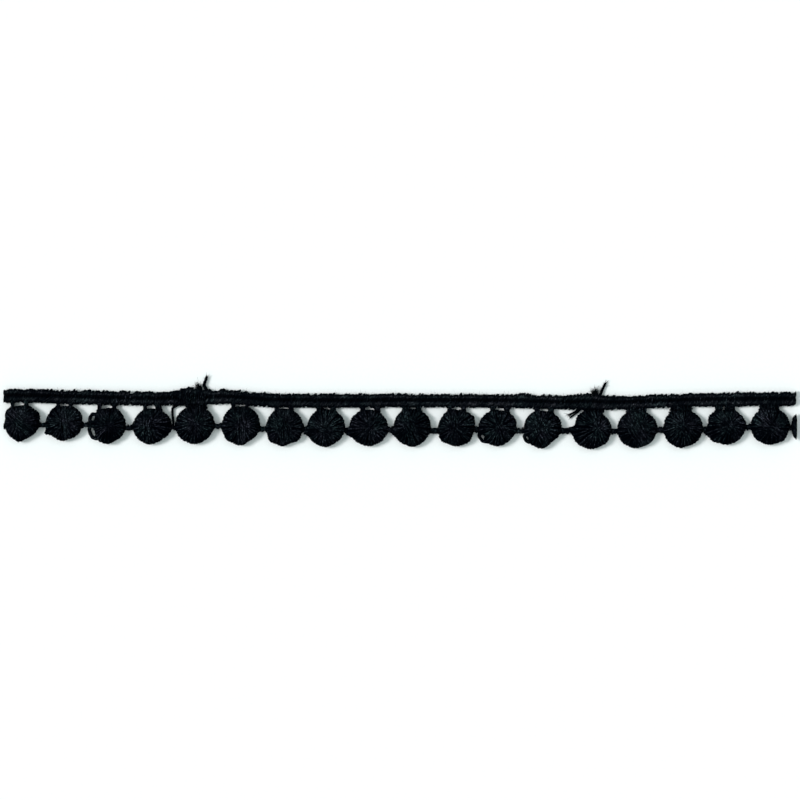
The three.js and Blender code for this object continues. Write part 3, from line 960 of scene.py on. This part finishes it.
def thread_tails(material):
    """Cut thread ends at the joins, with their fibres parting."""
    rng = np.random.default_rng(SEED + 140)
    parted = 0.7
    apart = 0.06
    count = TAIL_FRAY.count
    bundles = []
    for thick, points in TAILS:
        bundles.append(twisted(points, thick, rng))
        end = np.array(points[-1])
        way = unit(end - np.array(points[-2]))
        roots = end - way * rng.uniform(0, parted, (count, 1)) + rng.normal(0, apart, (count, 3))
        ways = unit(way + rng.normal(0, TAIL_FRAY.stray, (count, 3)))
        lengths = rng.uniform(*TAIL_FRAY.long, count)
        bundles.append(hairs(roots, ways, lengths, np.full(count, TAIL_FRAY.fine), rng))
    return sew("thread_tails", bundles, material)


def lint_tufts(material):
    """Soft tufts of loose fibre, thin enough to see through at their edges."""
    rng = np.random.default_rng(SEED + 145)
    root_spread = 0.8
    shorter = 0.6
    bundles = []
    for tuft in TUFTS:
        root = np.array(tuft.root)
        tip = np.array(tuft.tip)
        roots = root + rng.normal(0, root_spread * tuft.spread, (TUFT_COUNT, 3))
        ends = tip + rng.normal(0, tuft.spread, (TUFT_COUNT, 3))
        ends = ends - (tip - root) * rng.uniform(0, shorter, (TUFT_COUNT, 1))
        lengths = np.linalg.norm(ends - roots, axis=-1)
        fine = rng.uniform(*TUFT_FINE, TUFT_COUNT)
        bundles.append(hairs(roots, unit(ends - roots), lengths, fine, rng, curl=0.45))
    return sew("lint_tufts", bundles, material)


def slack_threads(material):
    """The slack thread by a neck, and rim threads that have pulled loose."""
    rng = np.random.default_rng(SEED + 150)
    loop_steps = 22
    loop_in = 0.9
    loop_up = 1.1
    loop_sag = 0.5
    bundles = [twisted(points, thick, rng) for thick, points in SLACK_THREADS]
    bow = np.sin(np.linspace(0, math.pi, loop_steps))
    for loose in LOOSE_RIMS:
        angle = np.radians(np.linspace(loose.at - loose.loop_half, loose.at + loose.loop_half, loop_steps))
        away = loose.loop_out - loop_in * (1 - bow) ** 2
        path = points_round(BALLS[loose.ball], away, angle, loop_up - loop_sag * bow)
        bundles.append(spin(path[None], UP, loose.loop_thick, rng, closed=False))
    return sew("slack_threads", bundles, material)


def cotton_lint(material):
    """Short fibres that stand out all over, most of them along the heading's upper edge."""
    rng = np.random.default_rng(SEED + 160)
    count, long, fine, stray = HEADING_LINT
    from_cut = 0.6
    lower_upper = [0.35, 0.65]
    round_edge = 34
    edge_at = 0.47
    middle_up = 0.85
    half_up = 0.7
    x = rng.uniform(-CUT + from_cut, CUT - from_cut, count)
    y, wide = heading_at(x)
    turn = rng.choice([-1, 1], count, p=lower_upper) * 90 + rng.normal(0, round_edge, count)
    turn = np.radians(turn)
    out = points_at(0, np.sin(turn), np.cos(turn))
    roots = points_at(x, y + edge_at * wide * np.sin(turn), middle_up + half_up * np.cos(turn))
    ways = unit(out + rng.normal(0, stray, (count, 3)))
    bundles = [hairs(roots, ways, rng.uniform(*long, count), rng.uniform(*fine, count), rng)]
    count, long, fine, stray = BALL_LINT
    least_out = 0.2
    above_face = 0.1
    for index in WHOLE_BALLS:
        angle = rng.uniform(0, 2 * math.pi, count)
        share = np.sqrt(rng.uniform(least_out, 1, count))
        away = share * (rim(index, angle) - THREAD)
        roots = points_round(BALLS[index], away, angle, dome_up(share) + above_face)
        out = points_at(np.cos(angle) * share, np.sin(angle) * share, 1 - share)
        ways = unit(out + rng.normal(0, stray, (count, 3)))
        radius = rng.uniform(*fine, count)
        bundles.append(hairs(roots, ways, rng.uniform(*long, count), radius, rng))
    return sew("cotton_lint", bundles, material)


def cut_ends(material):
    """The heading's core threads, cut through at both ends: one in the middle of each cord, six round it."""
    rng = np.random.default_rng(SEED + 170)
    in_across = 0.5
    in_up = 0.45
    uneven = 0.08
    spots = [(0, 0)] + [(math.cos(a), math.sin(a)) for a in np.arange(6) * math.pi / 3]
    routes = []
    for end in (-1, 1):
        y, wide = heading_at(np.array([end * CUT]))
        for cord in CORDS:
            half_across = cord.wide / 2 * wide[0] - in_across
            half_up = cord.high / 2 - in_up
            middle = y[0] + cord.across * wide[0]
            for across, up in spots:
                place = [middle + across * half_across, cord.high / 2 + up * half_up]
                stops = (CUT - 3.0, CUT - 1.5, CUT - rng.uniform(0, uneven))
                routes.append([[end * stop, *place] for stop in stops])
    return sew("cut_ends", [laid(routes, thickness(rng, len(routes)), rng, steps=8)], material)


# Materials

def linear(code):
    """An sRGB hex value as the linear colour that a shader takes."""
    parts = [int(code[i:i + 2], 16) / 255 for i in (1, 3, 5)]
    return [p / 12.92 if p <= 0.04045 else ((p + 0.055) / 1.055) ** 2.4 for p in parts] + [1.0]


def add_node(tree, kind, inputs, settings=None):
    """Adds a node, gives it its settings, and sets or links its inputs."""
    node = tree.nodes.new(kind)
    for name, value in (settings or {}).items():
        setattr(node, name, value)
    for name, value in inputs.items():
        if isinstance(value, bpy.types.NodeSocket):
            tree.links.new(value, node.inputs[name])
        else:
            node.inputs[name].default_value = value
    return node


def new_material(name):
    """An empty material and its node tree."""
    material = bpy.data.materials.new(name)
    material.use_nodes = True
    material.node_tree.nodes.clear()
    return material, material.node_tree


def black_cotton(name, dye_and_shade, green, violet, crest=(0.4, 0.95), low=(0.9, 1.45), dash=(0.6, 0.08),
                 tone_least=0.25):
    """Mercerised cotton thread: two plies spun together, dyed black and set in lye, which rounds and polishes
    the fibre. It looks near black and cool, greener in some places and more violet in others. Painted
    highlights lie on the crowns of the threads, in broken lines where a ply comes up, only on high parts and
    on faces that look up. They vary with the thread's tone, with wear and with the fibre. The threads' sides,
    the hollows between threads, faces that look away from above and the low sides of the trim keep the dye's
    near black as painted shade. Crest gives how far a face has to look up to take the painted highlight. Low
    gives the heights that the highlight begins and is full at. Dash gives the length of the dashes and how
    much highlight is left between them. The least tone is the share of highlight that threads of the lowest
    tone keep."""
    material, tree = new_material(name)
    # Real fibres are 0.015 mm wide. They are drawn 0.08 mm wide and 0.9 mm long, so that they show.
    fibre_wide = 0.08
    fibre_long = 0.9
    fibre_slant = math.radians(18)
    # The plies rise once in 0.62 mm. The mesh turns them more slowly, in the few steps that it has.
    ply_rise = 0.62
    dash_long, dash_least = dash
    dash_round = 0.7
    # Patches of the dye's colour and of wear, about 3 mm across, that don't fall in the same places.
    dye_patch = 3.4
    worn_patch = 2.8
    worn_apart = 3.7
    relief_deep = 0.03
    girth = 2 * math.pi * THREAD
    lay = add_node(tree, "ShaderNodeUVMap", {}, {"uv_map": "thread_lay"}).outputs["UV"]
    place = add_node(tree, "ShaderNodeTexCoord", {})
    facing = add_node(tree, "ShaderNodeSeparateXYZ", {0: place.outputs["Normal"]})
    heights = add_node(tree, "ShaderNodeSeparateXYZ", {0: place.outputs["Object"]})
    tone = add_node(tree, "ShaderNodeAttribute", {}, {"attribute_name": "thread_tone"})
    fibres = add_node(tree, "ShaderNodeMapping", {
        "Vector": lay, "Scale": (1 / fibre_long, girth / fibre_wide, 1), "Rotation": (0, 0, fibre_slant),
    })
    fibre = add_node(tree, "ShaderNodeTexNoise", {
        "Vector": fibres.outputs["Vector"], "Scale": 1.0, "Detail": 2.0, "Roughness": 0.6,
    })
    dashes = add_node(tree, "ShaderNodeMapping", {"Vector": lay, "Scale": (1 / dash_long, dash_round, 1)})
    dash_noise = add_node(tree, "ShaderNodeTexNoise", {
        "Vector": dashes.outputs["Vector"], "Scale": 1.0, "Detail": 0.0,
    }, {"noise_dimensions": "2D"})
    wear = add_node(tree, "ShaderNodeTexNoise", {
        "Vector": place.outputs["Object"], "Scale": 1 / (worn_patch * MM), "Detail": 1.0, "W": worn_apart,
    }, {"noise_dimensions": "4D"})
    dye = add_node(tree, "ShaderNodeTexNoise", {
        "Vector": place.outputs["Object"], "Scale": 1 / (dye_patch * MM), "Detail": 1.0, "Roughness": 0.5,
    })
    # Two waves: the plies that wind round the thread, and its crown, the side that looks outward.
    waves = {}
    for part, winding, wave in (
        ("ply", (2 * math.pi / ply_rise, 4 * math.pi, 0), "SINE"), ("crown", (0, 2 * math.pi, 0), "COSINE"),
    ):
        turn = add_node(tree, "ShaderNodeVectorMath", {0: lay, 1: winding}, {"operation": "DOT_PRODUCT"})
        waved = add_node(tree, "ShaderNodeMath", {0: turn.outputs["Value"]}, {"operation": wave})
        waves[part] = waved.outputs[0]
    # Each share has what it is read from, the two readings that it runs between, and its least and most. The
    # last two are the green in the dye and the roughness. All others multiply into how much painted highlight
    # a spot gets. Crown, ply and dashes put it on the threads' tops in broken lines. The height and facing
    # shares keep it off low parts and off faces that look away from above, which are left in painted shade.
    # The thread's tone, wear and fibre vary it.
    shares = {}
    for part, source, start, full, least, most in (
        ("crown", waves["crown"], 0.76, 1.0, 0.0, 1.0),
        ("ply", waves["ply"], -0.8, 0.8, 0.45, 1.0),
        ("dashed", dash_noise.outputs["Fac"], 0.5, 0.66, dash_least, 1.0),
        ("lit_high_shaded_low", heights.outputs["Z"], low[0] * MM, low[1] * MM, 0.08, 1.0),
        ("upper", facing.outputs["Z"], crest[0], crest[1], 0.12, 1.0),
        ("toned", tone.outputs["Fac"], tone_least / (tone_least - 1), 1.0, 0.0, 1.0),
        ("worn", fibre.outputs["Fac"], 0.3, 0.65, 0.4, 1.0),
        ("patchy", wear.outputs["Fac"], 0.35, 0.65, 0.4, 1.3),
        ("greener", dye.outputs["Fac"], 0.35, 0.65, 0.0, 1.0),
        ("rough", fibre.outputs["Fac"], 0.3, 0.7, 0.45, 0.65),
    ):
        share = add_node(tree, "ShaderNodeMapRange", {
            "Value": source, "From Min": start, "From Max": full, "To Min": least, "To Max": most,
        })
        shares[part] = share.outputs[0]
    lit_and_worn = shares["crown"]
    for part in ("ply", "dashed", "lit_high_shaded_low", "upper", "toned", "worn", "patchy"):
        paler = add_node(tree, "ShaderNodeMath", {0: lit_and_worn, 1: shares[part]}, {"operation": "MULTIPLY"})
        lit_and_worn = paler.outputs[0]
    # The colour: the dye's near black and painted shade where the share is low, painted highlight in the
    # dye's hue where it is high.
    lit_colour = add_node(tree, "ShaderNodeMix", {0: shares["greener"], 6: linear(violet), 7: linear(green)},
                      {"data_type": "RGBA"})
    colour = add_node(tree, "ShaderNodeMix", {0: lit_and_worn, 6: linear(dye_and_shade), 7: lit_colour.outputs[2]},
                      {"data_type": "RGBA"})
    relief = add_node(tree, "ShaderNodeMath", {0: waves["ply"], 1: fibre.outputs["Fac"]},
                      {"operation": "ADD"})
    bump = add_node(tree, "ShaderNodeBump", {
        "Height": relief.outputs[0], "Strength": 0.6, "Distance": relief_deep * MM,
    })
    # The dense twist scatters nearly all of the gloss, and what is left looks cool.
    shader = add_node(tree, "ShaderNodeBsdfPrincipled", {
        "Base Color": colour.outputs[2],
        "Roughness": shares["rough"],
        "Normal": bump.outputs["Normal"],
        "IOR": 1.54,
        "Specular IOR Level": 0.003,
        "Specular Tint": linear("#b8dcff"),
    })
    add_node(tree, "ShaderNodeOutputMaterial", {"Surface": shader.outputs[0]})
    return material


def white_card():
    """Smooth white card, uncoated: an even matt white with a faint grain of its pulp."""
    material, tree = new_material("white_card")
    # The pulp lies in flocks about 0.6 mm across.
    pulp = 0.6
    place = add_node(tree, "ShaderNodeTexCoord", {})
    grain = add_node(tree, "ShaderNodeTexNoise", {
        "Vector": place.outputs["Object"], "Scale": 1 / (pulp * MM), "Detail": 2.0,
    })
    colour = add_node(tree, "ShaderNodeMix", {
        0: grain.outputs["Fac"], 6: linear("#f0f1f1"), 7: linear("#f6f6f6"),
    }, {"data_type": "RGBA"})
    shader = add_node(tree, "ShaderNodeBsdfPrincipled", {
        "Base Color": colour.outputs[2], "Roughness": 0.9, "Specular IOR Level": 0.1,
    })
    add_node(tree, "ShaderNodeOutputMaterial", {"Surface": shader.outputs[0]})
    return material


# Camera, light and floor

# The camera's lens and sensor, and the width and middle of what it sees at the level of the balls' rims.
CAMERA_LENS = 100.0
CAMERA_SENSOR = 36.0
VIEW_WIDE = 192.0
VIEW_MIDDLE = (0.05, 0.13)
VIEW_LEVEL = 1.2
FLOOR_SIZE = 5000.0

# The light: where it comes from and how wide it spreads, in degrees, the key light's strength on the floor,
# the room's strength and how much it leans to one side, and the heights where its white fades to a tint.
KEY_ELEVATION = 44.0
KEY_AZIMUTH = 171.0
KEY_SOFTNESS = 18.0
KEY_ON_FLOOR = 0.48
ROOM_LIGHT = 0.7
ROOM_AZIMUTH = 130.0
ROOM_LEAN = 0.2
ROOM_TINT = "#f0ffff"
ROOM_FADE = (0.15, 0.4)


def photo_camera():
    """A long lens straight above the trim, with the heading at the top of the picture."""
    data = bpy.data.cameras.new("camera")
    data.lens = CAMERA_LENS
    data.sensor_width = CAMERA_SENSOR
    data.dof.use_dof = False
    camera = bpy.data.objects.new("camera", data)
    away = VIEW_WIDE / CAMERA_SENSOR * CAMERA_LENS + VIEW_LEVEL
    camera.location = (VIEW_MIDDLE[0] * MM, VIEW_MIDDLE[1] * MM, away * MM)
    bpy.context.scene.collection.objects.link(camera)
    bpy.context.scene.camera = camera


def soft_key():
    """A broad soft light from the left."""
    data = bpy.data.lights.new("key", "SUN")
    data.angle = math.radians(KEY_SOFTNESS)
    data.energy = KEY_ON_FLOOR * math.pi / math.sin(math.radians(KEY_ELEVATION))
    key = bpy.data.objects.new("key", data)
    key.rotation_euler = (math.radians(90 - KEY_ELEVATION), 0, math.radians(KEY_AZIMUTH + 90))
    bpy.context.scene.collection.objects.link(key)


def white_room():
    """The light of a white room from all round, white near the floor and stronger from the upper left."""
    world = bpy.data.worlds.new("white_room")
    world.use_nodes = True
    tree = world.node_tree
    tree.nodes.clear()
    place = add_node(tree, "ShaderNodeTexCoord", {})
    parts = add_node(tree, "ShaderNodeSeparateXYZ", {0: place.outputs["Generated"]})
    brighter = (math.cos(math.radians(ROOM_AZIMUTH)), math.sin(math.radians(ROOM_AZIMUTH)), 0)
    towards = add_node(tree, "ShaderNodeVectorMath", {0: place.outputs["Generated"], 1: brighter},
                       {"operation": "DOT_PRODUCT"})
    above = add_node(tree, "ShaderNodeMapRange", {
        "Value": towards.outputs["Value"], "From Min": -1.0, "From Max": 1.0,
        "To Min": ROOM_LIGHT * (1 - ROOM_LEAN), "To Max": ROOM_LIGHT * (1 + ROOM_LEAN),
    })
    height = add_node(tree, "ShaderNodeMapRange", {
        "Value": parts.outputs["Z"], "From Min": ROOM_FADE[0], "From Max": ROOM_FADE[1],
        "To Min": 0.0, "To Max": 1.0,
    })
    strength = add_node(tree, "ShaderNodeMix", {0: height.outputs[0], 2: 1.0, 3: above.outputs[0]})
    colour = add_node(tree, "ShaderNodeMix", {
        0: height.outputs[0], 6: linear("#ffffff"), 7: linear(ROOM_TINT),
    }, {"data_type": "RGBA"})
    walls = add_node(tree, "ShaderNodeBackground", {
        "Color": colour.outputs[2], "Strength": strength.outputs[0],
    })
    add_node(tree, "ShaderNodeOutputWorld", {"Surface": walls.outputs[0]})
    bpy.context.scene.world = world


def card_floor():
    """The white card that the trim lies on."""
    half = FLOOR_SIZE / 2 * MM
    mesh = bpy.data.meshes.new("card_floor")
    corners = [(-half, -half, 0), (half, -half, 0), (half, half, 0), (-half, half, 0)]
    mesh.from_pydata(corners, [], [(0, 1, 2, 3)])
    mesh.materials.append(white_card())
    floor = bpy.data.objects.new("card_floor", mesh)
    bpy.context.scene.collection.objects.link(floor)


photo_camera()
soft_key()
white_room()
card_floor()
bpy.context.scene.view_settings.view_transform = "Standard"

# Mercerised thread, laid over the balls, necks and joins: painted highlights in broken lines on near black,
# with painted shade in the hollows.
laid_cotton = black_cotton("mercerised_cotton_thread", "#000104", "#435457", "#4d4f5b")

# Satin stitch, wound tight round the cords: painted highlights only along their tops, in finer dashes, with
# painted shade on their sides.
cord_cotton = black_cotton("satin_stitched_cotton", "#010307", "#647377", "#6c6c75",
                           crest=(0.93, 1.0), dash=(0.45, 0.2))

# Padding thread, under all the others: it is drawn nearly black all over, as painted shade where it shows in
# the gaps between the threads above it.
padding_cotton = black_cotton("cotton_padding_thread", "#000004", "#050708", "#060608")

# Lint, single fibres that stand in the light: a softer black, nearly the same all over.
lint_cotton = black_cotton("cotton_lint_fibre", "#06090c", "#2c3d40", "#313740",
                           crest=(-1.0, 0.5), low=(-1.0, 0.0), dash=(1.0, 0.7), tone_least=0.6)

underlay = padding(padding_cotton)
covers = [ball_threads(number, laid_cotton) for number in WHOLE_BALLS]
covers.append(sliver_threads(laid_cotton))
covers.extend(cord_stitches(heading_cord, cord_cotton) for heading_cord in CORDS)
for make in (join_stitches, neck_threads, joining_bars, slack_threads, thread_tails):
    covers.append(make(laid_cotton))
for make in (lint_tufts, cotton_lint):
    covers.append(make(lint_cotton))
covers.append(cut_ends(laid_cotton))
